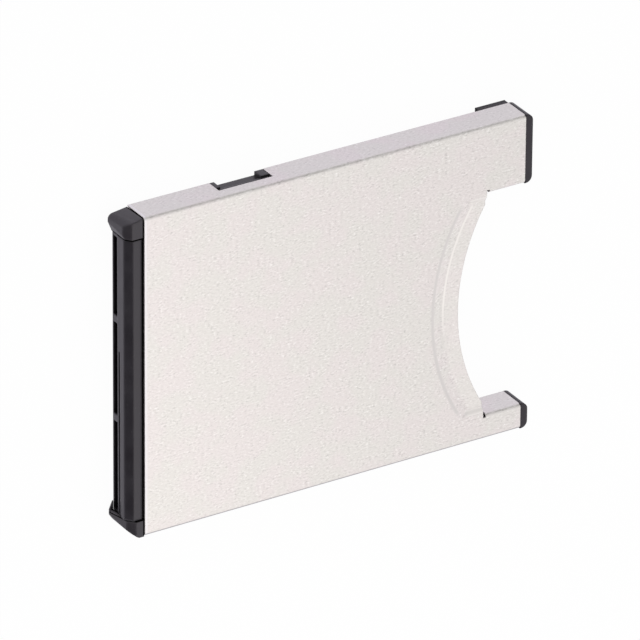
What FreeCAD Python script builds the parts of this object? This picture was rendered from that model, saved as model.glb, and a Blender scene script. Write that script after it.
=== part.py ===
# Memory card adapter: a 54 mm wide, 5 mm thick folded-metal card shell on a moulded frame.
# A small flash card slides in between the two prongs, and the other end plugs into a host slot.
#
# Lengths are millimetres. Inside this file a point is (u, v, z):
# u runs from the shell's connector edge to its prongs, v across the card, z from the rear face up.
# Every sub-part is then placed so that the origin is under the middle of the whole object.
import FreeCAD, Part
import math
import os
import Sketcher

doc = FreeCAD.newDocument("memory_card_adapter")
sheet = doc.addObject("Spreadsheet::Sheet", "Sizes")

# Driving dimensions: alias, value, meaning.
SIZES = [
    ("shell_length", 67.0, "folded metal shell along the card"),
    ("shell_width", 54.0, "shell across the card"),
    ("shell_thick", 5.0, "front face to rear face"),
    ("plate", 0.3, "thickness of the cover sheet"),
    ("bend_outer", 0.6, "outside radius of the front cover's folds"),
    ("fit_gap", 0.05, "clearance between a cover and what lies in it"),
    ("flange_height", 1.8, "height of the rear cover's folded edges"),
    ("prong_low", 4.3, "width of the narrow prong"),
    ("prong_high", 11.6, "width of the wide prong"),
    ("prong_length", 6.8, "prongs, from the straight stretches of the mouth beside them"),
    ("mouth_shoulder", 2.03, "length of each straight stretch"),
    ("mouth_arc", 33.8, "radius of the thumb cut-out"),
    ("mouth_inset", 0.35, "how far the frame stays behind the cover at the mouth"),
    ("relief_width", 0.5, "bend relief slit where a prong's fold starts"),
    ("relief_depth", 0.6, "depth of the relief slit into the prong"),
    ("step_reach", 4.0, "finger step: ends of its upper line, back from the mouth's straight stretches"),
    ("step_arc", 33.4, "finger step: radius of its upper and lower lines"),
    ("step_drop", 0.5, "finger step: how far it is pressed in"),
    ("step_slope", 1.3, "finger step: slope seen from the front, at its ends"),
    ("step_side", 0.85, "finger step: slope at its sides"),
    ("step_brow", 1.2, "finger step: rounding of its upper line"),
    ("step_foot", 0.8, "finger step: rounding of its lower line"),
    ("notch_start", 14.1, "latch pocket: first edge of the notch in the side wall"),
    ("notch_length", 9.4, "latch pocket: length of the notch"),
    ("notch_height", 2.9, "latch pocket: height of the notch above the rear face"),
    ("latch_depth", 0.7, "latch pocket: depth of its floor below the side wall"),
    ("latch_block_left", 0.75, "latch pocket: flush block at its first end"),
    ("latch_block_right", 1.5, "latch pocket: flush block at its far end"),
    ("latch_blocks_rise", 1.9, "latch pocket: height of the flush blocks"),
    ("rail_width", 2.84, "frame rail beside the host connector"),
    ("rail_wide", 3.5, "same rail on the side of the wide prong"),
    ("ear_reach", 3.4, "corner ears: reach beyond the shell"),
    ("ear_round_front", 2.3, "ear beside the wide prong: round of its outer corner at the front face"),
    ("ear_round_rear", 0.9, "same ear: round of its outer corner at the rear face"),
    ("ear_inset", 0.25, "same ear: its outer side set in from the cover's side wall, at the rear face"),
    ("ear_taper", 0.35, "same ear: how far its outer side runs in towards its end"),
    ("ear_slant", 1.6, "same ear: slanted inner corner of its end, across the card"),
    ("ear_corner", 2.45, "ear beside the narrow prong: slanted outer corner"),
    ("ear_bow", 6.0, "same ear: radius of the slightly bowed slant"),
    ("ear_lap", 0.45, "same ear: how far its end laps over the host connector's end face"),
    ("ear_foot", 1.9, "same ear: its thin foot on the rear lip's side, across the card"),
    ("ear_face_low", 1.4, "same ear: reach of its flat front"),
    ("ear_knee_low", 2.5, "same ear: reach at the foot of its bevel"),
    ("ear_face_high", 2.05, "ear beside the wide prong: reach of its flat front"),
    ("ear_knee_high", 3.05, "same ear: reach at the foot of its bevel"),
    ("ear_low", 0.1, "corner ears: set below the cover's front face"),
    ("tip_reach", 1.3, "prong end tips beyond the metal"),
    ("tip_round", 1.1, "prong end tips: round of the corners"),
    ("lip_drop", 1.2, "keying lip: how far it stands behind the rear face"),
    ("lip_length", 5.3, "keying lip along the card"),
    ("lip_edge", 0.65, "keying lip: set in from the wide prong's inner wall"),
    ("lip_inset", 1.2, "keying lip: its root set in from its edges"),
    ("card_edge", 0.45, "card channel: set in from the prongs' inner walls"),
    ("card_thick", 0.76, "flash card: thickness"),
    ("bed_top", 3.2, "height of the bed that the flash card slides on"),
    ("bed_skin", 1.0, "bed: thickness above its hollows"),
    ("bed_start", 34.5, "bed: its edge beside the card contact block"),
    ("bed_rib", 1.2, "bed: ribs between the hollows"),
    ("hollow_back", 9.0, "bed: end of its hollows, back from the mouth's straight stretches"),
    ("bay_wall", 1.65, "frame wall between the card channel and the long bay"),
    ("bay_back", 5.2, "end of the long bay, back from the mouth's straight stretches"),
    ("host_reach", 2.75, "host connector: reach beyond the shell"),
    ("host_lip", 2.6, "host connector: reach of the thin rear lip"),
    ("host_back", 8.5, "host connector: back face inside the shell"),
    ("host_low", 0.3, "host connector: set below the cover's front face"),
    ("host_step", 0.4, "host connector: groove beside the metal edge"),
    ("host_bevel_run", 1.0, "host connector: front bevel along the card"),
    ("host_bevel_drop", 1.2, "host connector: front bevel in thickness"),
    ("slot_low", 0.3, "host slot: lower wall"),
    ("slot_high", 1.64, "host slot: upper wall"),
    ("slot_depth", 4.75, "host slot: depth from the end face"),
    ("key_one", 7.8, "host slot: first key rib, from the card's middle line"),
    ("key_two", 9.0, "host slot: second key rib, beyond the middle line"),
    ("key_width", 1.2, "host slot: width of a key rib"),
    ("slot_edge", 0.63, "host slot: distance of its ends from the frame's rails"),
    ("pin_low", 0.6, "host contacts: underside of the rear row"),
    ("pin_high", 1.36, "host contacts: upper side of the front row"),
    ("web_thick", 2.0, "host connector: wall that holds the contacts"),
    ("pin_pitch", 1.27, "host contacts: pitch"),
    ("pin_width", 0.45, "host contacts: width"),
    ("pin_thick", 0.15, "contacts and leads: thickness"),
    ("pin_gap", 0.02, "host contacts: clearance in their holes"),
    ("pin_back", 0.9, "host contacts: tips behind the end face"),
    ("pin_bend", 0.4, "host contacts: straight stretch beside each bend"),
    ("pin_tail", 1.4, "host contacts: tails on the main board"),
    ("groove_width", 0.3, "host connector: shallow groove on the end face"),
    ("groove_depth", 0.15, "same groove: depth"),
    ("groove_level", 2.2, "same groove: height above the rear face"),
    ("groove_past", 4.0, "same groove: its end, beyond the card's middle line"),
    ("lug_start", 3.0, "connector lug: first edge along the card"),
    ("lug_length", 3.0, "connector lug: length"),
    ("lug_reach", 1.2, "connector lug: reach into the rail"),
    ("lug_low", 1.0, "connector lug: height of its underside"),
    ("board_low", 1.9, "main board: underside"),
    ("board_thick", 0.8, "main board: thickness"),
    ("board_start", 9.2, "main board: edge beside the host connector"),
    ("board_gap", 0.2, "main board: clearance to the frame"),
    ("board_arm_back", 2.0, "main board: end of its arm, before the long bay's end"),
    ("ledge", 1.4, "frame ledges under the main board"),
    ("ledge_start", 14.0, "ledges: first edge along the card"),
    ("ledge_back", 2.5, "ledges: their end, before the bed"),
    ("block_start", 16.8, "card contact block: edge on the board"),
    ("block_stop", 1.5, "card contact block: thickness of its card stop"),
    ("block_low_gap", 0.05, "card contact block: clearance under the front film"),
    ("card_row_edge", 2.09, "card contacts: outermost spring's middle from the channel's side"),
    ("card_pin_width", 1.0, "card contacts: width"),
    ("card_pin_rise", 0.5, "card contacts: crown above the bed"),
    ("card_pin_drop", 0.45, "card contacts: end below the crown"),
    ("card_pin_tail", 0.9, "card contacts: tail behind the block"),
    ("switch_rise", 0.65, "switch springs: crown above the bed"),
    ("card_slot_width", 1.4, "card contacts: width of their slots"),
    ("card_slot_wall", 1.5, "card contacts: wall between the two combs of slots"),
    ("side_spring_start", 5.5, "card pressure springs: first end, from the bed's edge"),
    ("side_spring_length", 8.0, "card pressure springs: length of their recesses"),
    ("side_spring_play", 0.15, "card pressure springs: play at each end"),
    ("side_recess", 0.5, "card pressure springs: depth of their recesses"),
    ("side_spring_proud", 0.12, "card pressure springs: bow beyond the channel's side"),
    ("side_spring_lift", 0.1, "card pressure springs: height above the bed"),
    ("earth_start", 2.3, "earth springs: first end, from the main board's edge"),
    ("earth_length", 2.2, "earth springs: length of the foot"),
    ("earth_crown", 1.0, "earth springs: length of the crown"),
    ("earth_width", 2.0, "earth springs: width"),
    ("earth_edge", 2.5, "earth springs: middle, from the frame's rails"),
    ("film", 0.1, "thickness of the insulating films"),
    ("film_start", 15.4, "front film: first edge along the card"),
    ("controller_side", 11.0, "controller chip: side"),
    ("controller_high", 1.2, "controller chip: thickness"),
    ("controller_along", 8.3, "controller chip: middle, from the main board's edge"),
    ("controller_across", 10.5, "controller chip: middle, from the card's middle line"),
    ("memory_length", 14.0, "buffer memory chip: length across the card"),
    ("memory_width", 8.0, "buffer memory chip: width"),
    ("memory_along", 9.3, "buffer memory chip: middle, from the main board's edge"),
    ("memory_across", 9.5, "buffer memory chip: middle, beyond the middle line"),
    ("chip_gap", 0.1, "chips: clearance to the main board"),
    ("chip_edge", 0.12, "chips: chamfer of their edges"),
    ("lead_edge", 0.7, "chip leads: outermost lead from the chip's corner"),
    ("lead_pitch", 1.0, "chip leads: pitch"),
    ("lead_width", 0.35, "chip leads: width"),
    ("lead_reach", 1.0, "chip leads: reach beyond the chip"),
    ("part_row", 4.1, "small parts: their row, from the main board's edge"),
    ("part_first", 7.2, "small parts: first of the row, from the narrow rail"),
    ("part_pitch", 3.2, "small parts: pitch of the row"),
    ("part_edge", 0.2, "crystal and regulator: chamfer of their upper edges"),
    ("crystal_length", 7.0, "clock crystal: length across the card"),
    ("crystal_width", 3.2, "clock crystal: width"),
    ("crystal_high", 1.3, "clock crystal: height"),
    ("crystal_across", 6.0, "clock crystal: middle, beyond the card's middle line"),
    ("regulator_length", 3.0, "voltage regulator: length along the card"),
    ("regulator_width", 3.6, "voltage regulator: width"),
    ("regulator_high", 1.1, "voltage regulator: height"),
    ("arm_first", 3.0, "parts on the board's arm: first one, from the arm's end"),
    ("arm_pitch", 4.0, "parts on the board's arm: pitch"),
    ("ceramic_length", 1.6, "capacitors and resistors: length"),
    ("ceramic_width", 0.8, "capacitors and resistors: width, and height of a capacitor"),
    ("resistor_high", 0.45, "resistors: height"),
    ("ceramic_cap", 0.35, "capacitors and resistors: length of an end cap"),
    ("ceramic_step", 0.04, "capacitors and resistors: end caps stand proud of the ceramic"),
]


class Size:
    """A length as a number, with the sheet expression that gives the same number."""

    def __init__(self, number, text):
        self.number = number
        self.text = text

    def __add__(self, other):
        other = as_size(other)
        return Size(self.number + other.number, f"({self.text} + {other.text})")

    def __sub__(self, other):
        other = as_size(other)
        return Size(self.number - other.number, f"({self.text} - {other.text})")

    def __mul__(self, other):
        other = as_size(other)
        return Size(self.number * other.number, f"({self.text} * {other.text})")

    def __truediv__(self, other):
        other = as_size(other)
        return Size(self.number / other.number, f"({self.text} / {other.text})")

    def __neg__(self):
        return Size(-self.number, f"(0 - {self.text})")


def as_size(value):
    """A bare number becomes a size with that number as its expression."""
    if isinstance(value, Size):
        return value
    return Size(float(value), repr(float(value)))


class Sizes:
    """The sheet's cells by alias."""


size = Sizes()
for row, (alias, value, meaning) in enumerate(SIZES, start=1):
    sheet.set(f"A{row}", alias)
    sheet.set(f"B{row}", str(value))
    sheet.set(f"C{row}", meaning)
    sheet.setAlias(f"B{row}", alias)
    setattr(size, alias, Size(value, f"Sizes.{alias}"))
doc.recompute()

zero = as_size(0)

# Where the whole object is placed: its origin is the middle of its box, on its lowest plane.
middle_u = (size.shell_length + size.tip_reach - size.ear_reach) / 2
middle_v = size.shell_width / 2

# Lines that several sub-parts share. The flash card's channel lies between the two prongs.
mouth_edge = size.shell_length - size.prong_length
mouth_low = size.prong_low
mouth_high = size.shell_width - size.prong_high
mouth_middle = (mouth_low + mouth_high) / 2
step_end = mouth_edge - size.step_reach
card_low = mouth_low + size.card_edge
card_high = mouth_high - size.card_edge
bay_end = mouth_edge - size.bay_back
board_arm_end = bay_end - size.board_arm_back
cover_under = size.shell_thick - size.plate
inner_low = size.plate + size.fit_gap
frame_top = cover_under
frame_low = size.plate
flange_top = size.flange_height + size.fit_gap
board_top = size.board_low + size.board_thick
past = as_size(2)

# The bay between the rails, which holds the host connector and the main board.
bay_low = size.rail_width
bay_high = size.shell_width - size.rail_wide
slot_start = bay_low + size.slot_edge
slot_end = bay_high - size.slot_edge
key_one = middle_v - size.key_one
key_two = middle_v + size.key_two

# The keying lip and its root, which passes through a window in the rear cover.
lip_end = size.shell_length
lip_start = lip_end - size.lip_length
lip_high = size.shell_width - size.fit_gap
lip_low = mouth_high + size.lip_edge
lip_root_start = lip_start + size.lip_inset
lip_root_end = lip_end - size.lip_inset
lip_root_low = lip_low + size.lip_inset
lip_root_high = lip_high - size.lip_inset

# The latch pocket passes through a notch in the rear cover, up to this line.
latch_line = size.shell_width - inner_low - size.plate - size.latch_depth

# Two rows of card contacts, with a switch spring at each end of the front row.
card_contact_count = 11
card_pitch = (card_high - card_low - size.card_row_edge * 2) / (card_contact_count + 2)
card_contact_first = mouth_middle - card_pitch * (card_contact_count - 1) / 2
protect_middle = card_contact_first - card_pitch * 1.5
detect_middle = card_contact_first + card_pitch * (card_contact_count + 0.5)
block_end = size.bed_start - size.board_gap
card_slot_length = (block_end - size.block_start - size.card_slot_wall) / 2

# The card pressure springs and the recesses of the channel's sides that hold them.
side_spring_start = size.bed_start + size.side_spring_start
side_spring_end = side_spring_start + size.side_spring_length


def place(sub_part, u=zero, v=zero, z=zero):
    """Bind a sub-part's Placement: the object's own shift, plus a place in (u, v, z)."""
    x, y, height = u - middle_u, v - middle_v, z + size.lip_drop
    sub_part.setExpression("Placement.Base.x", x.text)
    sub_part.setExpression("Placement.Base.y", y.text)
    sub_part.setExpression("Placement.Base.z", height.text)


def origin_feature(body, role):
    return next(item for item in body.Origin.OriginFeatures if item.Role == role)


def arc_between(start, end, radius):
    """The short arc from start to end. A positive radius turns left, a negative one right."""
    chord = end - start
    half = chord.Length / 2
    rise = math.sqrt(max(radius * radius - half * half, 0.0))
    left = FreeCAD.Vector(-chord.y, chord.x, 0).normalize()
    centre = start + chord * 0.5 + left * (rise if radius > 0 else -rise)
    first, last = (start, end) if radius > 0 else (end, start)
    first_angle = math.atan2(first.y - centre.y, first.x - centre.x)
    last_angle = math.atan2(last.y - centre.y, last.x - centre.x)
    if last_angle < first_angle:
        last_angle += 2 * math.pi
    circle = Part.Circle(centre, FreeCAD.Vector(0, 0, 1), abs(radius))
    return Part.ArcOfCircle(circle, first_angle, last_angle)


def outline(body, name, level, corners, plane="XY_Plane"):
    """A closed sketch through corners (x, y) or (x, y, radius of the arc to the next corner)."""
    sketch = body.newObject("Sketcher::SketchObject", name)
    sketch.AttachmentSupport = [(origin_feature(body, plane), "")]
    sketch.MapMode = "FlatFace"
    sketch.setExpression("AttachmentOffset.Base.z", level.text)
    points = [FreeCAD.Vector(corner[0].number, corner[1].number, 0) for corner in corners]
    count = len(corners)
    rules = []
    bound = []
    ends = []
    for index, corner in enumerate(corners):
        start, end = points[index], points[(index + 1) % count]
        if len(corner) == 3:
            radius = corner[2].number
            sketch.addGeometry(arc_between(start, end, radius), False)
            ends.append((1, 2) if radius > 0 else (2, 1))
            width = corner[2] if radius > 0 else -corner[2]
            bound.append((len(rules), width))
            rules.append(Sketcher.Constraint("Radius", index, width.number))
        else:
            sketch.addGeometry(Part.LineSegment(start, end), False)
            ends.append((1, 2))
    for index, corner in enumerate(corners):
        following = (index + 1) % count
        rules.append(Sketcher.Constraint("Coincident", index, ends[index][1], following, ends[following][0]))
        for kind, value, axis in (("DistanceX", corner[0], -2), ("DistanceY", corner[1], -1)):
            if value is zero:
                rules.append(Sketcher.Constraint("PointOnObject", index, ends[index][0], axis))
                continue
            bound.append((len(rules), value))
            rules.append(Sketcher.Constraint(kind, -1, 1, index, ends[index][0], value.number))
    sketch.addConstraint(rules)
    for index, value in bound:
        sketch.setExpression(f"Constraints[{index}]", value.text)
    return sketch


def rectangle(body, name, level, x_first, x_last, y_first, y_last, plane="XY_Plane"):
    corners = [(x_first, y_first), (x_last, y_first), (x_last, y_last), (x_first, y_last)]
    return outline(body, name, level, corners, plane)


def feature(body, kind, name, profile, length):
    """A pad grows from its sketch, and a pocket cuts down from it."""
    item = body.newObject(f"PartDesign::{kind}", name)
    item.Profile = profile
    item.Length = length.number
    item.setExpression("Length", length.text)
    profile.Visibility = False
    return item


def pad(body, name, profile, length):
    return feature(body, "Pad", name, profile, length)


def pocket(body, name, profile, depth):
    return feature(body, "Pocket", name, profile, depth)


def pad_box(body, name, u_first, u_last, v_first, v_last, z_first, z_last):
    profile = rectangle(body, f"{name}_outline", z_first, u_first, u_last, v_first, v_last)
    return pad(body, name, profile, z_last - z_first)


def cut_box(body, name, u_first, u_last, v_first, v_last, z_first, z_last):
    profile = rectangle(body, f"{name}_outline", z_last, u_first, u_last, v_first, v_last)
    return pocket(body, name, profile, z_last - z_first)


def loft(body, kind, name, profile, section):
    item = body.newObject(f"PartDesign::{kind}", name)
    item.Profile = profile
    item.Sections = [section]
    item.Ruled = True
    return item


def near(first, second):
    return abs(first - second) < 1e-4


def edges_at(base, u=None, v=None, z=None, end_u=None):
    """Names of the edges of a feature whose two ends and middle all have the given places.
    With end_u, one of the two ends has to be at that place along the card."""
    doc.recompute()
    names = []
    for index, edge in enumerate(base.Shape.Edges, start=1):
        spots = [vertex.Point for vertex in edge.Vertexes]
        if end_u and not any(near(spot.x, end_u.number) for spot in spots):
            continue
        spots.append(edge.valueAt((edge.FirstParameter + edge.LastParameter) / 2))
        wanted = [(spot.x, u) for spot in spots] + [(spot.y, v) for spot in spots]
        wanted += [(spot.z, z) for spot in spots]
        if all(value is None or near(found, value.number) for found, value in wanted):
            names.append(f"Edge{index}")
    return names


def dress(body, kind, name, base, names, amount):
    """A Fillet or Chamfer on the named edges."""
    item = body.newObject(f"PartDesign::{kind}", name)
    item.Base = (base, names)
    key = "Radius" if kind == "Fillet" else "Size"
    item.setExpression(key, amount.text)
    return item


def pattern(body, name, original, role, length, occurrences):
    """Copies of a feature in a row."""
    doc.recompute()
    item = body.newObject("PartDesign::LinearPattern", name)
    item.Originals = [original]
    item.Direction = (origin_feature(body, role), [""])
    item.setExpression("Length", length.text)
    item.Occurrences = occurrences
    item.Refine = False
    body.Tip = item
    return item


def new_body(label):
    body = doc.addObject("PartDesign::Body", label)
    body.Label = label
    return body


def mouth_outline(body, name, level, inset, wall_low, wall_high, slit):
    """The thumb cut-out and the gap between the prongs, as one outline open to the prong ends."""
    edge = mouth_edge - inset
    far = size.shell_length + size.tip_reach + past
    first = mouth_low + size.mouth_shoulder
    last = mouth_high - size.mouth_shoulder
    if slit:
        after = edge + size.relief_width
        low_side = [(edge, wall_low - size.relief_depth), (after, wall_low - size.relief_depth)]
        low_side += [(after, wall_low), (far, wall_low)]
        high_side = [(far, wall_high), (after, wall_high), (after, wall_high + size.relief_depth)]
        high_side += [(edge, wall_high + size.relief_depth)]
    else:
        low_side = [(edge, wall_low), (far, wall_low)]
        high_side = [(far, wall_high), (edge, wall_high)]
    corners = low_side + high_side + [(edge, last, size.mouth_arc + inset), (edge, first)]
    return outline(body, name, level, corners)


def step_outline(body, name, level, inward):
    """The finger step's line: an arc behind the mouth, closed beyond the mouth's edge."""
    share = as_size(1 if inward else 0)
    low = card_low + size.step_side * share
    high = card_high - size.step_side * share
    end = step_end + size.step_slope * share
    far = mouth_edge + size.relief_width
    corners = [(end, high, size.step_arc), (end, low), (far, low), (far, high)]
    return outline(body, name, level, corners)


def make_front_cover():
    """One folded sheet: front face, side walls, prong walls and the pressed finger step."""
    body = new_body("front_cover")
    block = pad_box(body, "cover_block", zero, size.shell_length, zero, size.shell_width, zero,
                    size.shell_thick)
    folds = edges_at(block, v=zero, z=size.shell_thick)
    folds += edges_at(block, v=size.shell_width, z=size.shell_thick)
    dress(body, "Fillet", "side_folds", block, folds, size.bend_outer)
    wall_start = mouth_edge + size.relief_width
    low, high = size.plate, size.shell_width - size.plate
    inside = [(-past, low), (size.shell_length + past, low)]
    inside += [(size.shell_length + past, mouth_low - size.plate), (wall_start, mouth_low - size.plate)]
    inside += [(wall_start, mouth_high + size.plate), (size.shell_length + past, mouth_high + size.plate)]
    inside += [(size.shell_length + past, high), (-past, high)]
    cavity = pocket(body, "cavity", outline(body, "cavity_outline", cover_under, inside), cover_under + past)
    inner_folds = []
    for line in (low, mouth_low - size.plate, mouth_high + size.plate, high):
        inner_folds += edges_at(cavity, v=line, z=cover_under)
    dress(body, "Fillet", "inner_folds", cavity, inner_folds, size.bend_outer - size.plate)
    under_high = step_outline(body, "step_under_high", cover_under, False)
    under_low = step_outline(body, "step_under_low", cover_under - size.step_drop, True)
    loft(body, "AdditiveLoft", "step_under", under_high, under_low)
    face_high = step_outline(body, "step_face_high", size.shell_thick, False)
    step_floor = size.shell_thick - size.step_drop
    face_low = step_outline(body, "step_face_low", step_floor, True)
    step = loft(body, "SubtractiveLoft", "step_face", face_high, face_low)
    upper_line = edges_at(step, z=size.shell_thick, end_u=step_end)
    brow = dress(body, "Fillet", "step_brow", step, upper_line, size.step_brow)
    lower_line = edges_at(brow, z=step_floor, end_u=step_end + size.step_slope)
    dress(body, "Fillet", "step_foot", brow, lower_line, size.step_foot)
    level = size.shell_thick + past
    profile = mouth_outline(body, "mouth_outline", level, zero, mouth_low, mouth_high, True)
    mouth = pocket(body, "mouth", profile, level + past)
    prong_folds = edges_at(mouth, v=mouth_low, z=size.shell_thick)
    prong_folds += edges_at(mouth, v=mouth_high, z=size.shell_thick)
    dress(body, "Fillet", "prong_folds", mouth, prong_folds, size.bend_outer)
    cut_box(body, "latch_notch", size.notch_start, size.notch_start + size.notch_length,
            size.shell_width - size.plate * 2, size.shell_width + past, -past, size.notch_height)
    place(body)
    return body


def make_rear_cover():
    """A flat sheet between the front cover's walls, with two low folded edges."""
    body = new_body("rear_cover")
    low, high = inner_low, size.shell_width - inner_low
    block = pad_box(body, "rear_block", zero, size.shell_length, low, high, zero, size.flange_height)
    folds = edges_at(block, v=low, z=zero) + edges_at(block, v=high, z=zero)
    dress(body, "Fillet", "rear_folds", block, folds, size.plate)
    cut_box(body, "rear_cavity", -past, size.shell_length + past, low + size.plate, high - size.plate,
            size.plate, size.flange_height + past)
    level = size.flange_height + past
    wall_low = mouth_low - inner_low
    wall_high = mouth_high + inner_low
    profile = mouth_outline(body, "rear_mouth_outline", level, zero, wall_low, wall_high, False)
    pocket(body, "rear_mouth", profile, level + past)
    cut_box(body, "rear_latch_notch", size.notch_start, size.notch_start + size.notch_length,
            latch_line, size.shell_width, -past, level)
    cut_box(body, "lip_window", lip_root_start, lip_root_end, lip_root_low, lip_root_high, -past, level)
    place(body)
    return body


def make_frame():
    """The moulded frame: rails, corner ears, card bed, prong arms, end tips and keying lip."""
    body = new_body("frame")
    start = -size.host_step
    rim_low, rim_high = inner_low, size.shell_width - inner_low
    flange = size.plate + size.fit_gap
    pad_box(body, "lower_rim", start, size.shell_length, rim_low + flange, rim_high - flange, frame_low,
            flange_top)
    rim = pad_box(body, "upper_rim", start, size.shell_length, rim_low, rim_high, flange_top, frame_top)
    corners = edges_at(rim, v=rim_low, z=frame_top) + edges_at(rim, v=rim_high, z=frame_top)
    dress(body, "Fillet", "rim_edges", rim, corners, size.bend_outer - size.plate)
    cut_box(body, "main_bay", -size.ear_reach, size.bed_start, bay_low, bay_high, -past, size.shell_thick)
    cut_box(body, "long_bay", size.bed_start - past, bay_end, card_high + size.bay_wall, bay_high,
            -past, size.shell_thick)
    cut_box(body, "card_channel", size.bed_start - past, size.shell_length, card_low, card_high,
            size.bed_top, size.shell_thick)
    make_bed_hollows(body)
    make_mouth_and_prongs(body)
    make_ears(body)
    make_lip(body)
    make_latch_pocket(body)
    make_board_ledges(body)
    make_lug_recesses(body)
    make_spring_recesses(body)
    place(body)
    return body


def make_bed_hollows(body):
    """Three hollows under the card bed, with ribs between them."""
    count = 3
    first = card_low + size.bed_rib * 2
    last = card_high - size.bed_rib * 2
    width = (last - first - size.bed_rib * (count - 1)) / count
    deepest = mouth_edge - size.mouth_inset - size.hollow_back
    hollow = cut_box(body, "bed_hollow", size.bed_start + size.bed_rib, deepest, first, first + width,
                     -past, size.bed_top - size.bed_skin)
    pattern(body, "bed_hollows", hollow, "Y_Axis", last - first - width, count)


def make_mouth_and_prongs(body):
    """The arc of the thumb cut-out, and the plastic tips that end the prongs."""
    level = size.shell_thick + past
    wall_low, wall_high = mouth_low - inner_low, mouth_high + inner_low
    profile = mouth_outline(body, "frame_mouth_outline", level, size.mouth_inset, wall_low, wall_high, False)
    mouth = pocket(body, "frame_mouth", profile, level + past)
    edges = edges_at(mouth, v=wall_low, z=frame_top) + edges_at(mouth, v=wall_high, z=frame_top)
    dress(body, "Fillet", "prong_edges", mouth, edges, size.bend_outer - size.plate)
    tip_start = size.shell_length
    tip_end = size.shell_length + size.tip_reach
    tips = (("low_tip", zero, mouth_low), ("high_tip", mouth_high, size.shell_width))
    for name, low, high in tips:
        tip = pad_box(body, name, tip_start, tip_end, low, high, zero, size.shell_thick - size.ear_low)
        corners = edges_at(tip, u=tip_end, v=low) + edges_at(tip, u=tip_end, v=high)
        dress(body, "Fillet", f"{name}_round", tip, corners, size.tip_round)


def make_ears(body):
    """Corner ears at the connector end: a flat front, a bevel, and an end that leans out to the rear."""
    end = -size.ear_reach
    top = size.shell_thick - size.ear_low
    bevel_foot = top - size.host_bevel_drop
    root = -size.fit_gap * 2
    ears = (("low_ear", zero, bay_low, size.ear_face_low, size.ear_knee_low),
            ("high_ear", bay_high, size.shell_width, size.ear_face_high, size.ear_knee_high))
    for name, low, high, face, knee in ears:
        section = [(end, zero), (root, zero), (root, top), (-face, top), (-knee, bevel_foot)]
        profile = outline(body, f"{name}_section", -high, section, "XZ_Plane")
        pad(body, name, profile, high - low)
    shape_low_ear(body, end, bevel_foot)
    shape_high_ear(body, end)


def shape_low_ear(body, end, bevel_foot):
    """The ear beside the narrow prong: a slanted, bowed corner, and an end that laps over the connector."""
    level = size.shell_thick + past
    corner = size.ear_corner
    slanted = [(end - past, -past), (end + corner, -past), (end + corner, zero, -size.ear_bow), (end, corner)]
    slanted.append((end - past, corner))
    pocket(body, "low_ear_corner", outline(body, "low_ear_corner_outline", level, slanted), level + past)
    before = -size.host_reach - size.fit_gap
    lap_top = bevel_foot * (before - end) / (size.ear_reach - size.ear_knee_low)
    lap = size.ear_lap
    section = [(end, zero), (before, zero), (before, lap_top)]
    profile = outline(body, "low_ear_lap_section", -(bay_low + lap), section, "XZ_Plane")
    pad(body, "low_ear_lap", profile, lap)
    foot = [(end, bay_low), (before, bay_low), (before, bay_low + size.ear_foot), (end, bay_low + lap)]
    pad(body, "low_ear_foot", outline(body, "low_ear_foot_outline", zero, foot), size.slot_low)


def shape_high_ear(body, end):
    """The ear beside the wide prong: its tapered side runs in to the rear, and its inner end is slanted."""
    far = size.shell_width + past
    profiles = []
    for name, level, inset, turn in (("front", size.shell_thick, zero, size.ear_round_front),
                                     ("rear", zero, size.ear_inset, size.ear_round_rear)):
        edge = size.shell_width - inset
        side = edge - size.ear_taper
        outer = [(end - past, far), (zero, far), (zero, edge), (end + turn, side, turn)]
        outer += [(end, side - turn), (end - past, side - turn)]
        profiles.append(outline(body, f"high_ear_corner_{name}", level, outer))
    loft(body, "SubtractiveLoft", "high_ear_corner", profiles[0], profiles[1])
    level = size.shell_thick + past
    inner = bay_high + size.ear_slant
    before = -size.host_reach
    slanted = [(end - past, bay_high - past), (before, bay_high - past), (before, bay_high), (end, inner)]
    slanted.append((end - past, inner))
    pocket(body, "high_ear_slant", outline(body, "high_ear_slant_outline", level, slanted), level + past)


def make_lip(body):
    """The keying lip behind the wide prong, on a root that passes through the rear cover."""
    inset = size.fit_gap
    pad_box(body, "lip_root", lip_root_start + inset, lip_root_end - inset, lip_root_low + inset,
            lip_root_high - inset, -inset * 2, frame_low + inset)
    pad_box(body, "lip", lip_start, lip_end, lip_low, lip_high, -size.lip_drop, -inset)


def make_latch_pocket(body):
    """A pocket in the wide rail, open to the side and the rear, with a flush block at each end."""
    gap = size.fit_gap
    start, end = size.notch_start + gap, size.notch_start + size.notch_length - gap
    floor = size.shell_width - size.latch_depth
    root = latch_line + gap
    pad_box(body, "latch_floor", start, end, root, floor, zero, size.notch_height - gap)
    blocks = (("latch_block_left", start, start + size.latch_block_left),
              ("latch_block_right", end - size.latch_block_right, end))
    for name, first, last in blocks:
        pad_box(body, name, first, last, root, size.shell_width - gap, zero, size.latch_blocks_rise)


def make_board_ledges(body):
    """Ledges that carry the main board, two beside the bay and one at the end of the long bay."""
    start, end = size.ledge_start, size.bed_start - size.ledge_back
    lap = size.plate
    pad_box(body, "low_ledge", start, end, bay_low - lap, bay_low + size.ledge, frame_low, size.board_low)
    pad_box(body, "high_ledge", start, end, bay_high - size.ledge, bay_high + lap, frame_low, size.board_low)
    pad_box(body, "end_ledge", board_arm_end - size.ledge, bay_end + lap, card_high + size.bay_wall - lap,
            bay_high + lap, frame_low, size.board_low)


def make_lug_recesses(body):
    """Recesses in the rails that hold the host connector's lugs."""
    gap = size.fit_gap
    start, end = size.lug_start - gap, size.lug_start + size.lug_length + gap
    reach = size.lug_reach + gap * 2
    low = size.lug_low
    cut_box(body, "low_lug_recess", start, end, bay_low - reach, bay_low + gap, low, size.shell_thick)
    cut_box(body, "high_lug_recess", start, end, bay_high - gap, bay_high + reach, low, size.shell_thick)


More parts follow.
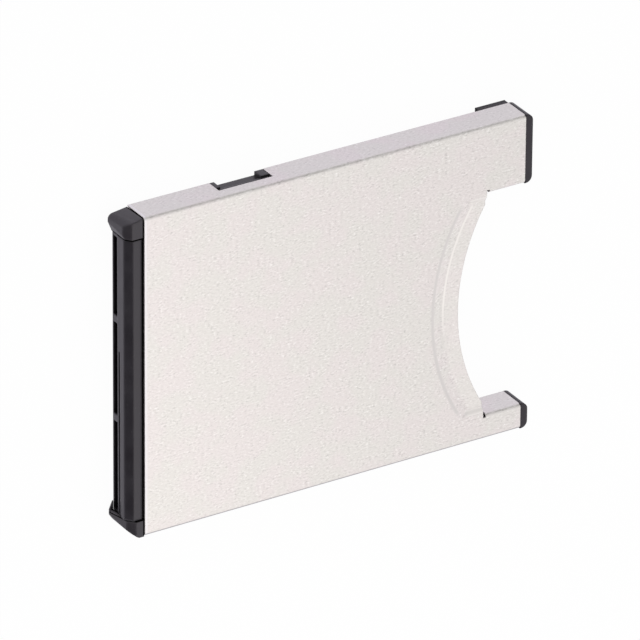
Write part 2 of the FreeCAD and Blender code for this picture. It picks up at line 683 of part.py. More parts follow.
def make_spring_recesses(body):
    """Shallow recesses in the channel's sides for the card pressure springs."""
    for name, low, high in (("low", card_low - size.side_recess, card_low + size.fit_gap),
                            ("high", card_high - size.fit_gap, card_high + size.side_recess)):
        cut_box(body, f"{name}_spring_recess", side_spring_start, side_spring_end, low, high,
                size.bed_top, size.shell_thick)


def slot_bays():
    """The three bays of the host slot across the card, between its ends and the key ribs."""
    half = size.key_width / 2
    return ((slot_start, key_one - half), (key_one + half, key_two - half), (key_two + half, slot_end))


def contact_places():
    """The first contact's place across the card and the number of contacts, for each bay of the slot."""
    pitch = size.pin_pitch.number
    places = []
    for first, last in slot_bays():
        room = (last - first - size.pin_width * 2).number
        count = int(room / pitch) + 1
        middle = ((first + last) / 2).number
        places.append((middle - (count - 1) / 2 * pitch, count))
    return places


def make_host_connector_housing():
    """The connector moulding: a bevelled front edge, a keyed slot and a wall with contact holes."""
    body = new_body("host_connector_housing")
    gap = size.fit_gap
    low, high = bay_low + gap, bay_high - gap
    top = size.shell_thick - size.host_low
    inside_top = cover_under - size.film
    end = -size.host_reach
    corners = [(-size.host_lip, zero), (-size.host_step, zero), (-size.host_step, inner_low)]
    corners += [(size.host_back, inner_low), (size.host_back, inside_top), (-size.host_step, inside_top)]
    corners += [(-size.host_step, top), (end + size.host_bevel_run, top), (end, top - size.host_bevel_drop)]
    corners += [(end, size.slot_high), (-size.host_lip, size.slot_high)]
    profile = outline(body, "housing_profile", -high, corners, "XZ_Plane")
    pad(body, "housing_block", profile, high - low)
    slot_back = end + size.slot_depth
    for index, (first, last) in enumerate(slot_bays(), start=1):
        cut_box(body, f"slot_{index}", end - past, slot_back, first, last, size.slot_low, size.slot_high)
    web_back = slot_back + size.web_thick
    cut_box(body, "back_cavity", web_back, size.host_back + past, slot_start, slot_end,
            size.pin_low - size.fit_gap, board_top + size.pin_low)
    for name, level in (("upper", size.pin_high - size.pin_thick), ("lower", size.pin_low)):
        for index, (first, count) in enumerate(contact_places(), start=1):
            middle = as_size(first)
            reach = size.pin_width / 2 + size.pin_gap
            hole = cut_box(body, f"{name}_hole_{index}", slot_back - gap, web_back + gap, middle - reach,
                           middle + reach, level - size.pin_gap, level + size.pin_thick + size.pin_gap)
            pattern(body, f"{name}_holes_{index}", hole, "Y_Axis", size.pin_pitch * (count - 1), count)
    cut_box(body, "face_groove", end - past, end + size.groove_depth, slot_start, middle_v + size.groove_past,
            size.groove_level - size.groove_width / 2, size.groove_level + size.groove_width / 2)
    lug_end = size.lug_start + size.lug_length
    reach = size.lug_reach
    pad_box(body, "low_lug", size.lug_start, lug_end, low - reach, low + gap, size.lug_low, inside_top)
    pad_box(body, "high_lug", size.lug_start, lug_end, high - gap, high + reach, size.lug_low, inside_top)
    place(body)
    return body


def make_main_board():
    """An L-shaped board: the main field under the contact block, and an arm in the long bay."""
    body = new_body("main_board")
    gap = size.board_gap
    low, high = bay_low + gap, bay_high - gap
    arm_low = card_high + size.bay_wall + gap
    inner_end = size.bed_start - gap
    corners = [(size.board_start, low), (inner_end, low), (inner_end, arm_low)]
    corners += [(board_arm_end, arm_low), (board_arm_end, high), (size.board_start, high)]
    pad(body, "board", outline(body, "board_outline", size.board_low, corners), size.board_thick)
    place(body)
    return body


def make_card_contact_block():
    """The moulding that stops the flash card and carries its contacts, in two combs of slots."""
    body = new_body("card_contact_block")
    start, end = size.block_start, block_end
    low, high = bay_low + size.board_gap, card_high + size.bay_wall
    top = cover_under - size.film - size.block_low_gap
    pad_box(body, "block", start, end, low, high, board_top, top)
    cut_box(body, "channel", start + size.block_stop, end + past, card_low, card_high, size.bed_top,
            top + past)
    half = size.card_slot_width / 2
    first = card_contact_first
    row_length = card_pitch * (card_contact_count - 1)
    for name, slot_low, slot_high in (("rear", start - past, start + card_slot_length),
                                      ("front", end - card_slot_length, end + past)):
        slot = cut_box(body, f"{name}_slot", slot_low, slot_high, first - half, first + half,
                       -past, size.bed_top + size.fit_gap)
        pattern(body, f"{name}_slots", slot, "Y_Axis", row_length, card_contact_count)
    for name, middle in (("protect", protect_middle), ("detect", detect_middle)):
        cut_box(body, f"{name}_slot", end - card_slot_length, end + past, middle - half, middle + half,
                -past, size.bed_top + size.fit_gap)
    place(body)
    return body


def strip(path, thickness, middle, width):
    """A bent strip: a path of (u, z) points with a thickness, drawn out across the card."""
    points = [FreeCAD.Vector(u, 0, z) for u, z in path]
    sides = ([], [])
    for index, point in enumerate(points):
        before = points[max(index - 1, 0)]
        after = points[min(index + 1, len(points) - 1)]
        first = (point - before).normalize() if index > 0 else (after - point).normalize()
        second = (after - point).normalize() if index < len(points) - 1 else first
        normal = FreeCAD.Vector(-(first.z + second.z), 0, first.x + second.x).normalize()
        stretch = 1 / max(normal.dot(FreeCAD.Vector(-first.z, 0, first.x)), 0.5)
        sides[0].append(point + normal * (thickness / 2 * stretch))
        sides[1].append(point - normal * (thickness / 2 * stretch))
    ring = sides[0] + sides[1][::-1]
    face = Part.Face(Part.makePolygon(ring + [ring[0]]))
    face.translate(FreeCAD.Vector(0, middle - width / 2, 0))
    return face.extrude(FreeCAD.Vector(0, width, 0))


def group(label, solids):
    """Several like solids as one sub-part."""
    item = doc.addObject("Part::Feature", label)
    item.Label = label
    item.Shape = Part.makeCompound(solids)
    place(item)
    return item


def make_host_contacts():
    """Two rows of contacts, from the walls of the host slot to both faces of the main board."""
    thick = size.pin_thick.number
    half = thick / 2
    tip = (size.pin_back - size.host_reach).number
    first_bend = (size.slot_depth - size.host_reach + size.web_thick + size.pin_bend).number
    second_bend = (size.board_start - size.pin_bend).number
    tail = (size.board_start + size.pin_tail).number
    upper = size.pin_high.number - half
    lower = size.pin_low.number + half
    over = board_top.number + half
    under = size.board_low.number - half
    for label, level, foot in (("host_contacts_front_row", upper, over),
                               ("host_contacts_rear_row", lower, under)):
        path = [(tip, level), (first_bend, level), (second_bend, foot), (tail, foot)]
        solids = []
        for first, count in contact_places():
            for index in range(count):
                middle = first + index * size.pin_pitch.number
                solids.append(strip(path, thick, middle, size.pin_width.number))
        group(label, solids)


def card_contact_path(start, direction, rise, tail):
    """A sprung contact in its slot: a tail on the board, a sloping arm and a crowned end above the bed.
    Its bends lie at shares of the slot's length."""
    floor = (board_top + size.pin_thick / 2).number
    crown = (size.bed_top + rise).number
    end = crown - size.card_pin_drop.number
    length = card_slot_length.number
    steps = [(-tail.number, floor), (length * 0.2, floor), (length * 0.74, crown), (length * 0.83, crown)]
    steps.append((length * 0.92, end))
    return [(start.number + direction * along, height) for along, height in steps]


def make_card_contacts():
    """Twenty-two sprung contacts in two rows, and the two switch springs beside them."""
    width = size.card_pin_width.number
    thick = size.pin_thick.number
    middles = [(card_contact_first + card_pitch * index).number for index in range(card_contact_count)]
    rear_path = card_contact_path(size.block_start, 1, size.card_pin_rise, size.card_pin_tail)
    front_path = card_contact_path(block_end, -1, size.card_pin_rise, zero)
    switch_path = card_contact_path(block_end, -1, size.switch_rise, zero)
    group("card_contacts_rear_row", [strip(rear_path, thick, middle, width) for middle in middles])
    group("card_contacts_front_row", [strip(front_path, thick, middle, width) for middle in middles])
    group("write_protect_spring", [strip(switch_path, thick, protect_middle.number, width)])
    group("card_detect_spring", [strip(switch_path, thick, detect_middle.number, width)])


def make_side_springs():
    """Two bowed leaves that press on the flash card's edges."""
    thick = size.pin_thick.number
    start = (side_spring_start + size.side_spring_play).number
    length = (side_spring_end - side_spring_start - size.side_spring_play * 2).number
    shares = [(0.0, 0.0), (0.12, 0.0), (0.4, 1.0), (0.6, 1.0), (0.88, 0.0), (1.0, 0.0)]
    bow = (size.side_recess - size.pin_thick + size.side_spring_proud).number
    height = size.card_thick.number
    middle = size.bed_top.number + size.side_spring_lift.number + height / 2
    for label, wall, inward in (("card_pressure_spring_left", card_low - size.side_recess, 1),
                                ("card_pressure_spring_right", card_high + size.side_recess, -1)):
        path = [(start + share * length, thick / 2 + rise * bow) for share, rise in shares]
        leaf = strip(path, thick, 0, height)
        # The leaf is drawn in (u, z), then turned so that its rise runs across the card.
        leaf.rotate(FreeCAD.Vector(0, 0, 0), FreeCAD.Vector(1, 0, 0), -90 * inward)
        leaf.translate(FreeCAD.Vector(0, wall.number, middle))
        group(label, [leaf])


def make_earth_springs():
    """Leaf springs that earth the front cover to the main board."""
    thick = size.pin_thick.number
    foot = board_top.number + thick / 2
    crown = cover_under.number - thick / 2
    start = (size.board_start + size.earth_start).number
    foot_end = start + size.earth_length.number
    crown_start = start + (size.earth_length - size.earth_crown).number / 2
    crown_end = crown_start + size.earth_crown.number
    path = [(start, foot), (foot_end, foot), (crown_start, crown), (crown_end, crown)]
    for label, middle in (("earth_spring_left", bay_low + size.earth_edge),
                          ("earth_spring_right", bay_high - size.earth_edge)):
        group(label, [strip(path, thick, middle.number, size.earth_width.number)])


def chip(label, along, across, length, width, height, low, levels, chamfer):
    """A closed body, length along the card and width across it, chamfered at the given levels."""
    body = new_body(label)
    block = pad_box(body, f"{label}_block", along - length / 2, along + length / 2, across - width / 2,
                    across + width / 2, low, low + height)
    rims = [name for level in levels for name in edges_at(block, z=level)]
    dress(body, "Chamfer", f"{label}_chamfer", block, rims, chamfer)
    place(body)
    return body


def chip_leads(label, sides, low):
    """Bent leads from a chip's side to the board's underside."""
    thick = size.pin_thick.number
    board = size.board_low.number - thick / 2
    exit_level = low + size.controller_high.number / 2
    reach = size.lead_reach.number
    path = [(0.0, exit_level), (reach * 0.3, exit_level), (reach * 0.5, board), (reach, board)]
    solids = []
    for centre_u, centre_v, half_length, half_width, angle, count in sides:
        offset = half_length if angle in (0, 180) else half_width
        for index in range(count):
            across = (index - (count - 1) / 2) * size.lead_pitch.number
            lead = strip(path, thick, across, size.lead_width.number)
            lead.translate(FreeCAD.Vector(offset, 0, 0))
            lead.rotate(FreeCAD.Vector(0, 0, 0), FreeCAD.Vector(0, 0, 1), angle)
            lead.translate(FreeCAD.Vector(centre_u, centre_v, 0))
            solids.append(lead)
    group(label, solids)


def lead_count(side):
    """How many leads fit along a chip's side."""
    return int((side - size.lead_edge * 2).number / size.lead_pitch.number) + 1


def make_chips():
    """The controller and the buffer memory, under the main board."""
    height = size.controller_high
    low = size.board_low - height - size.chip_gap
    levels = (low, low + height)
    side = size.controller_side
    along = size.board_start + size.controller_along
    across = middle_v - size.controller_across
    chip("controller_chip", along, across, side, side, height, low, levels, size.chip_edge)
    half = side.number / 2
    sides = [(along.number, across.number, half, half, angle, lead_count(side))
             for angle in (0, 90, 180, 270)]
    chip_leads("controller_leads", sides, low.number)
    length, width = size.memory_length, size.memory_width
    along = size.board_start + size.memory_along
    across = middle_v + size.memory_across
    chip("buffer_memory_chip", along, across, width, length, height, low, levels, size.chip_edge)
    sides = [(along.number, across.number, width.number / 2, length.number / 2, angle, lead_count(length))
             for angle in (0, 180)]
    chip_leads("buffer_memory_leads", sides, low.number)


def end_capped(along, across, height, turned=False):
    """A ceramic part on the main board, drawn as one solid that is a little thicker at its end caps."""
    length, width = size.ceramic_length.number, size.ceramic_width.number
    cap = size.ceramic_cap.number
    step = size.ceramic_step.number
    core = Part.makeBox(length, width - 2 * step, height.number - step,
                        FreeCAD.Vector(-length / 2, step - width / 2, 0))
    for start in (-length / 2, length / 2 - cap):
        corner = FreeCAD.Vector(start, -width / 2, 0)
        core = core.fuse(Part.makeBox(cap, width, height.number, corner))
    if turned:
        core.rotate(FreeCAD.Vector(0, 0, 0), FreeCAD.Vector(0, 0, 1), 90)
    core.translate(FreeCAD.Vector(along.number, across.number, board_top.number))
    return core.removeSplitter()


def make_small_parts():
    """The small parts on the upper face of the main board: a row beside its edge, and some on its arm."""
    row = size.board_start + size.part_row
    first = bay_low + size.part_first
    pitch = size.part_pitch
    top = (board_top + size.crystal_high,)
    chip("clock_crystal", row, middle_v + size.crystal_across, size.crystal_width, size.crystal_length,
         size.crystal_high, board_top, top, size.part_edge)
    arm_middle = (card_high + size.bay_wall + bay_high) / 2
    arm = [board_arm_end - size.arm_first - size.arm_pitch * index for index in range(4)]
    top = (board_top + size.regulator_high,)
    chip("voltage_regulator", arm[1], arm_middle, size.regulator_length, size.regulator_width,
         size.regulator_high, board_top, top, size.part_edge)
    solids = [end_capped(row, first + pitch * index, size.ceramic_width) for index in range(5)]
    solids += [end_capped(along, arm_middle, size.ceramic_width, True) for along in arm[2:]]
    group("ceramic_capacitors", solids)
    solids = [end_capped(row, first + pitch * (index + 0.5), size.resistor_high) for index in range(4)]
    beside = size.ceramic_length * 0.75
    solids += [end_capped(arm[0], arm_middle + beside * side, size.resistor_high) for side in (-1, 1)]
    group("chip_resistors", solids)


def make_films():
    """Insulating films between the covers and the electronics."""
    end = block_end
    body = new_body("front_insulating_film")
    pad_box(body, "front_film", size.film_start, end, bay_low + size.board_gap, bay_high - size.board_gap,
            cover_under - size.film, cover_under)
    place(body)
    body = new_body("rear_insulating_film")
    edge = size.ledge + size.board_gap
    pad_box(body, "rear_film", size.host_back + size.board_gap, end, bay_low + edge, bay_high - edge,
            size.plate, size.plate + size.film)
    place(body)


make_front_cover()
make_rear_cover()
make_frame()
make_host_connector_housing()
make_host_contacts()
make_main_board()
make_card_contact_block()
make_card_contacts()
make_side_springs()
make_earth_springs()
make_chips()
make_small_parts()
make_films()
doc.recompute()

# Every object has to be sound before anything is written.
for item in doc.Objects:
    if "Invalid" in item.State or "Error" in item.State:
        raise RuntimeError(f"{item.Name} could not be built: {item.State}")
sub_parts = [item for item in doc.Objects if item.isDerivedFrom("PartDesign::Body")]
sub_parts += [item for item in doc.Objects if item.TypeId == "Part::Feature"]
os.makedirs("parts", exist_ok=True)
for item in sub_parts:
    if item.Shape.isNull() or not item.Shape.isValid():
        raise RuntimeError(f"{item.Label} has no valid shape")
for item in sub_parts:
    item.Shape.exportStep(f"parts/{item.Label}.step")
    print(f"{item.Label}: {len(item.Shape.Solids)} solid(s), {item.Shape.Volume:.2f} cubic mm")
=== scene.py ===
# Looks of the memory card adapter: its materials, the light round it and the camera.

import math

import bpy
from mathutils import Matrix, Vector


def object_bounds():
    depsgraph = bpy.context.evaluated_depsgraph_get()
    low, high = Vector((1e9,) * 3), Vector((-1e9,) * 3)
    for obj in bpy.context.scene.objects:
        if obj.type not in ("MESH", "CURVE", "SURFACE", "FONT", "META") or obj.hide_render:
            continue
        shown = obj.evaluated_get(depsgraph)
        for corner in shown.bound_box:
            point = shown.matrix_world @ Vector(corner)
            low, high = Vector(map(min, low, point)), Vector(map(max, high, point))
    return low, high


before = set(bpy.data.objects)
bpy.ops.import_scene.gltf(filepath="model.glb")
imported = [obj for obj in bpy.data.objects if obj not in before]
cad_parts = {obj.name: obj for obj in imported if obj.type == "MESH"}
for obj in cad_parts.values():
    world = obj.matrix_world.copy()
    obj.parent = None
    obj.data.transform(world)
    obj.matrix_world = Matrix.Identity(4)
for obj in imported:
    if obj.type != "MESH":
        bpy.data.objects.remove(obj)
cad_low, cad_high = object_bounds()
scene = bpy.context.scene
middle = (Vector(cad_low) + Vector(cad_high)) / 2


# Nodes

def add(tree, kind, inputs=None, **settings):
    """A new node, with its settings, and its inputs linked or set by name or number."""
    node = tree.nodes.new(kind)
    for name, value in settings.items():
        setattr(node, name, value)
    for name, value in (inputs or {}).items():
        feed(tree, node.inputs[name], value)
    return node


def feed(tree, socket, value):
    """Links a socket to another node's output, or sets it to a number or colour."""
    if isinstance(value, bpy.types.NodeSocket):
        tree.links.new(value, socket)
    elif isinstance(value, tuple) and socket.type == "RGBA":
        socket.default_value = (*value, 1.0)
    else:
        socket.default_value = value


def calculate(tree, operation, *values):
    """A sum, product or other operation on one or more numbers."""
    node = add(tree, "ShaderNodeMath", operation=operation)
    for socket, value in zip(node.inputs, values):
        feed(tree, socket, value)
    return node.outputs["Value"]


class Surface:
    """A material made of nodes, whose patterns are laid out in millimetres of the row frame."""

    def __init__(self, name):
        self.material = bpy.data.materials.new(name)
        self.material.use_nodes = True
        self.tree = self.material.node_tree
        self.tree.nodes.clear()
        metres = add(self.tree, "ShaderNodeTexCoord").outputs["Object"]
        self.point = self.stretched(metres, (1000.0, 1000.0, 1000.0))
        parts = add(self.tree, "ShaderNodeSeparateXYZ", {"Vector": self.point}).outputs
        self.x, self.y, self.z = parts["X"], parts["Y"], parts["Z"]

    def stretched(self, place, factors):
        """A place with each of its coordinates multiplied."""
        node = add(self.tree, "ShaderNodeVectorMath", {0: place, 1: factors}, operation="MULTIPLY")
        return node.outputs["Vector"]

    def sum(self, *values):
        total = values[0]
        for value in values[1:]:
            total = calculate(self.tree, "ADD", total, value)
        return total

    def times(self, *values):
        total = values[0]
        for value in values[1:]:
            total = calculate(self.tree, "MULTIPLY", total, value)
        return total

    def noise(self, size, detail=2.0, roughness=0.5, distortion=0.0, place=None):
        """Soft noise from 0 to 1, whose lumps are about size millimetres across."""
        inputs = {
            "Vector": place or self.point,
            "Scale": 1.0 / size,
            "Detail": detail,
            "Roughness": roughness,
            "Distortion": distortion,
        }
        return add(self.tree, "ShaderNodeTexNoise", inputs).outputs["Fac"]

    def cells(self, size, place=None):
        """Distance to the nearest of scattered points, size millimetres apart."""
        inputs = {"Vector": place or self.point, "Scale": 1.0 / size}
        return add(self.tree, "ShaderNodeTexVoronoi", inputs).outputs["Distance"]

    def ramp(self, value, low, high, start=0.0, end=1.0):
        """start where value is low, end where it is high, and a smooth way between."""
        inputs = {
            "Value": value,
            "From Min": low,
            "From Max": high,
            "To Min": start,
            "To Max": end,
        }
        node = add(self.tree, "ShaderNodeMapRange", inputs, interpolation_type="SMOOTHSTEP")
        return node.outputs["Result"]

    def specks(self, size, share):
        """1 on scattered specks of about that size. A larger share gives more of them."""
        return self.ramp(self.noise(size, 1.0), 0.72 - share, 0.78 - share)

    def line(self, value, middle, half, soft):
        """1 where value is within half of middle, with a soft way down on both sides."""
        away = calculate(self.tree, "ABSOLUTE", calculate(self.tree, "SUBTRACT", value, middle))
        return self.ramp(away, half, half + soft, 1.0, 0.0)

    def corners(self, reach):
        """Painted shade: up to 1 in inner corners and deep places, for walls nearer than reach
        millimetres.
        """
        node = add(self.tree, "ShaderNodeAmbientOcclusion", {"Distance": reach / 1000.0}, samples=8)
        return self.ramp(node.outputs["AO"], 0.35, 0.85, 0.8, 0.0)

    def mixed(self, factor, first, second):
        """A colour between two others."""
        node = add(self.tree, "ShaderNodeMix", data_type="RGBA")
        feed(self.tree, node.inputs["Factor"], factor)
        feed(self.tree, node.inputs[6], first)
        feed(self.tree, node.inputs[7], second)
        return node.outputs[2]

    def bumped(self, height, depth, edge):
        """A surface normal for a height from 0 to 1 that stands for depth millimetres.
        Edges look rounded, edge millimetres wide."""
        soft = add(self.tree, "ShaderNodeBevel", {"Radius": edge / 1000.0}, samples=6).outputs["Normal"]
        inputs = {"Height": height, "Distance": depth / 1000.0, "Strength": 1.0, "Normal": soft}
        return add(self.tree, "ShaderNodeBump", inputs).outputs["Normal"]

    def done(self, colour, roughness, normal, metallic=0.0, **others):
        """Joins everything to the shader and gives the finished material."""
        inputs = {
            "Base Color": colour,
            "Roughness": roughness,
            "Normal": normal,
            "Metallic": metallic,
        }
        for name, value in others.items():
            inputs[name.replace("_", " ").title().replace("Ior", "IOR")] = value
        shader = add(self.tree, "ShaderNodeBsdfPrincipled", inputs)
        add(self.tree, "ShaderNodeOutputMaterial", {"Surface": shader.outputs["BSDF"]})
        return self.material


# Materials

# Places in the row frame, in millimetres. The two joints are between the connector strip and the
# corner ears. The low fold is where the front face meets the side wall on the side of the narrow prong.
METAL_EDGE = -32.45
LOW_JOINT = -24.16
HIGH_JOINT = 23.6
LOW_FOLD = -26.77
FOLD_START = 5.85
# Where the painted shade on the prong ends starts and where it is full.
TIP_START = 27.0
TIP_END = 30.0

# The finger step: the middle of its arcs, their radii, and how far its ends are from that middle.
STEP_CENTRE = (53.34, -3.65)
BROW_RADIUS = 35.0
FOOT_RADIUS = 32.9
STEP_ENDS = 18.2


def finger_step(s, shade):
    """Tones of the finger step on the front cover: a pale band, ends lightened with painted light,
    painted shade along the upper rim of its slope, and a painted highlight on the upper half of the
    slope's lower rim."""
    east = calculate(s.tree, "SUBTRACT", s.x, STEP_CENTRE[0])
    north = calculate(s.tree, "SUBTRACT", s.y, STEP_CENTRE[1])
    away = calculate(s.tree, "SQRT", s.sum(s.times(east, east), s.times(north, north)))
    aside = calculate(s.tree, "ABSOLUTE", north)
    front = s.ramp(s.z, 4.8, 5.0)
    place = s.times(s.ramp(aside, 17.2, 17.9, 1.0, 0.0), front)
    band = s.times(s.ramp(away, 32.6, 33.0, 0.22, 0.0), place)
    brow_shade = s.times(s.line(away, BROW_RADIUS, 0.10, 0.35), place)
    foot_highlight = s.times(s.line(away, FOOT_RADIUS, 0.09, 0.16), place, s.ramp(north, -6.0, 3.0))
    ends = s.times(s.line(aside, STEP_ENDS, 0.40, 0.08), s.ramp(s.x, 24.2, 25.2), front)
    # Painted light on the ends of the step, which sit in shade; the band is paler.
    shade = s.mixed(s.sum(band, ends), shade, (0.800, 0.765, 0.740))
    # Painted shade: a dark line along the upper rim of the slope.
    shade = s.mixed(brow_shade, shade, (0.630, 0.600, 0.590))
    # Painted highlight: a bright line along the lower rim of the slope.
    return s.mixed(foot_highlight, shade, (0.810, 0.775, 0.750))


def shell_metal():
    """Matt plated steel sheet: faint warm and cool patches, fine grain, clusters of short marks, a
    painted highlight on the edge at the connector end, a painted dark reflection at the low fold, and the
    finger step's tones with their painted shade and highlights."""
    s = Surface("shell_metal")
    patches = s.ramp(s.noise(5.0, 2.0, 0.5), 0.38, 0.62)
    along = s.stretched(s.point, (0.5, 1.0, 1.0))
    marks = s.noise(0.27, 2.0, 0.7, place=along)
    clusters = s.ramp(s.noise(1.6, 2.0, 0.6), 0.40, 0.62, 0.5, 1.0)
    light = s.times(s.ramp(marks, 0.51, 0.71), clusters)
    dark = s.times(s.ramp(marks, 0.29, 0.49, 1.0, 0.0), clusters)
    shade = s.mixed(patches, (0.690, 0.664, 0.640), (0.704, 0.656, 0.648))
    shade = s.mixed(s.times(dark, 0.55), shade, (0.42, 0.40, 0.39))
    shade = s.mixed(s.times(light, 0.60), shade, (0.92, 0.90, 0.89))
    # Painted highlight along the rounded edge at the connector end.
    edge = s.line(s.x, METAL_EDGE + 0.25, 0.12, 0.12)
    # Painted dark reflection along the curve of the low fold.
    fold = s.times(s.line(s.y, LOW_FOLD, 0.14, 0.05), s.ramp(s.z, FOLD_START, FOLD_START + 0.05))
    shade = s.mixed(edge, shade, (0.740, 0.715, 0.725))
    shade = s.mixed(fold, shade, (0.430, 0.415, 0.420))
    shade = finger_step(s, shade)
    rough = s.ramp(marks, 0.3, 0.7, 0.39, 0.45)
    grain = s.noise(0.16, 2.0, 0.6)
    height = s.sum(s.times(grain, 0.3), marks)
    return s.done(shade, rough, s.bumped(height, 0.006, 0.2), 1.0)


def joint_shade(s):
    """1 along the seams between the metal, the corner ears and the connector strip, for painted shade."""
    beside_metal = s.line(s.x, METAL_EDGE, 0.22, 0.08)
    outside = s.ramp(s.x, METAL_EDGE - 0.05, METAL_EDGE, 1.0, 0.0)
    low = s.line(s.y, LOW_JOINT, 0.07, 0.06)
    high = s.line(s.y, HIGH_JOINT, 0.09, 0.06)
    across = calculate(s.tree, "MAXIMUM", low, high)
    return s.times(calculate(s.tree, "MAXIMUM", beside_metal, across), outside)


def moulded(name, colour, lighter, size, roughness):
    """Black moulded plastic with a fine spark-eroded grain and a little dust. Painted shade makes it
    darkest, with its reflection weakest, in seams and inner corners, and its reflection is painted
    weaker, as shade, towards the ends of the prongs."""
    s = Surface(name)
    flow = s.noise(5.0, 3.0, 0.6)
    grain = s.noise(size, 2.0, 0.6)
    dust = s.specks(0.25, 0.0)
    # Painted shade in the seams and inner corners: near black, with the reflection weakened too.
    gaps = calculate(s.tree, "MAXIMUM", joint_shade(s), s.corners(2.5))
    shade = s.mixed(s.ramp(flow, 0.3, 0.7), colour, lighter)
    shade = s.mixed(s.times(dust, 0.12), shade, (0.30, 0.29, 0.29))
    shade = s.mixed(gaps, shade, (0.002, 0.002, 0.002))
    rough = s.sum(s.ramp(flow, 0.3, 0.7, roughness - 0.04, roughness + 0.04), s.times(dust, 0.1))
    # Painted shade: the reflection grows weaker towards the ends of the prongs, where less light falls.
    shaded_prong_ends = s.ramp(s.x, TIP_START, TIP_END, 0.54, 0.34)
    level = s.times(shaded_prong_ends, s.ramp(gaps, 0.0, 1.0, 1.0, 0.0))
    normal = s.bumped(s.sum(grain, s.times(flow, 0.4)), 0.008, 0.5)
    return s.done(shade, rough, normal, specular_ior_level=level, specular_tint=(0.99, 0.94, 1.0))


def drawn_metal(name, colour, darker, along, roughness):
    """Bare or plated metal with fine lines along one of its directions."""
    s = Surface(name)
    factors = tuple(0.06 if axis == along else 1.0 for axis in range(3))
    lines = s.noise(0.05, 2.0, 0.7, place=s.stretched(s.point, factors))
    tarnish = s.noise(1.4, 3.0, 0.6)
    shade = s.mixed(s.ramp(tarnish, 0.35, 0.7, 0.0, 0.5), colour, darker)
    shade = s.mixed(s.times(lines, 0.2), shade, darker)
    rough = s.ramp(lines, 0.3, 0.7, roughness - 0.05, roughness + 0.06)
    return s.done(shade, rough, s.bumped(lines, 0.002, 0.03), 1.0)


def board():
    """Solder mask over glass cloth and copper tracks, with tinned pads showing through."""
    s = Surface("board")
    threads = {"Vector": s.point, "Scale": 2.2, "Distortion": 0.5}
    along = add(s.tree, "ShaderNodeTexWave", threads, bands_direction="X").outputs["Fac"]
    across = add(s.tree, "ShaderNodeTexWave", threads, bands_direction="Y").outputs["Fac"]
    weave = s.times(along, across)
    tracks = s.ramp(s.cells(2.4, s.stretched(s.point, (0.25, 1.0, 1.0))), 0.35, 0.42)
    shade = s.mixed(tracks, (0.010, 0.085, 0.035), (0.018, 0.145, 0.055))
    shade = s.mixed(s.times(weave, 0.25), shade, (0.03, 0.19, 0.08))
    rough = s.ramp(s.noise(1.5), 0.3, 0.7, 0.26, 0.36)
    height = s.sum(s.times(weave, 0.3), tracks)
    return s.done(shade, rough, s.bumped(height, 0.02, 0.05), coat_weight=0.3)


def lumpy(name, colour, darker, size, depth, roughness, metallic=0.0):
    """A cast, fired or soldered surface with soft lumps and pores."""
    s = Surface(name)
    lumps = s.noise(size, 3.0, 0.6)
    pores = s.specks(size * 0.5, 0.0)
    shade = s.mixed(s.ramp(lumps, 0.3, 0.7), colour, darker)
    shade = s.mixed(s.times(pores, 0.4), shade, tuple(0.5 * part for part in darker))
    rough = s.ramp(lumps, 0.3, 0.7, roughness - 0.06, roughness + 0.06)
    height = s.sum(lumps, s.times(pores, -0.6))
    return s.done(shade, rough, s.bumped(height, depth, 0.05), metallic)


def film():
    """Amber insulating film with faint wrinkles."""
    s = Surface("film")
    wrinkles = s.noise(3.0, 2.0, 0.5, 0.8, s.stretched(s.point, (0.3, 1.0, 1.0)))
    specks = s.specks(0.3, 0.0)
    shade = s.mixed(s.ramp(wrinkles, 0.3, 0.7), (0.50, 0.22, 0.03), (0.60, 0.30, 0.05))
    shade = s.mixed(s.times(specks, 0.3), shade, (0.28, 0.12, 0.02))
    rough = s.ramp(wrinkles, 0.3, 0.7, 0.18, 0.28)
    return s.done(shade, rough, s.bumped(wrinkles, 0.05, 0.02))


finishes = {
    "shell_metal": shell_metal(),
    "frame_plastic": moulded("frame_plastic", (0.018, 0.015, 0.019), (0.024, 0.021, 0.026), 0.12, 0.42),
    "connector_plastic": moulded(
        "connector_plastic", (0.013, 0.011, 0.015), (0.018, 0.016, 0.021), 0.10, 0.38
    ),
    "contact_gold": drawn_metal("contact_gold", (0.85, 0.58, 0.22), (0.62, 0.38, 0.12), 0, 0.26),
    "spring_steel": drawn_metal("spring_steel", (0.62, 0.60, 0.57), (0.42, 0.41, 0.40), 0, 0.30),
    "crystal_can": drawn_metal("crystal_can", (0.66, 0.64, 0.60), (0.48, 0.46, 0.43), 1, 0.28),
    "board": board(),
    "chip_resin": lumpy("chip_resin", (0.016, 0.016, 0.018), (0.026, 0.026, 0.028), 0.14, 0.012, 0.62),
    "solder_tin": lumpy("solder_tin", (0.66, 0.66, 0.67), (0.48, 0.48, 0.50), 0.30, 0.010, 0.30, 1.0),
    "ceramic_tan": lumpy("ceramic_tan", (0.44, 0.30, 0.17), (0.34, 0.22, 0.12), 0.25, 0.010, 0.55),
    "ceramic_dark": lumpy("ceramic_dark", (0.030, 0.030, 0.033), (0.050, 0.050, 0.055), 0.22, 0.010, 0.5),
    "film": film(),
}

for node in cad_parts.values():
    for place in node.material_slots:
        place.material = finishes[place.material.name.split(".")[0]]


# Floor, world and lamps

def seen_by_eye(tree):
    """1 for rays from the camera and for those that shiny or clear things send on, else 0."""
    rays = add(tree, "ShaderNodeLightPath").outputs
    direct = calculate(tree, "MAXIMUM", rays["Is Camera Ray"], rays["Is Glossy Ray"])
    return calculate(tree, "MAXIMUM", direct, rays["Is Transmission Ray"])


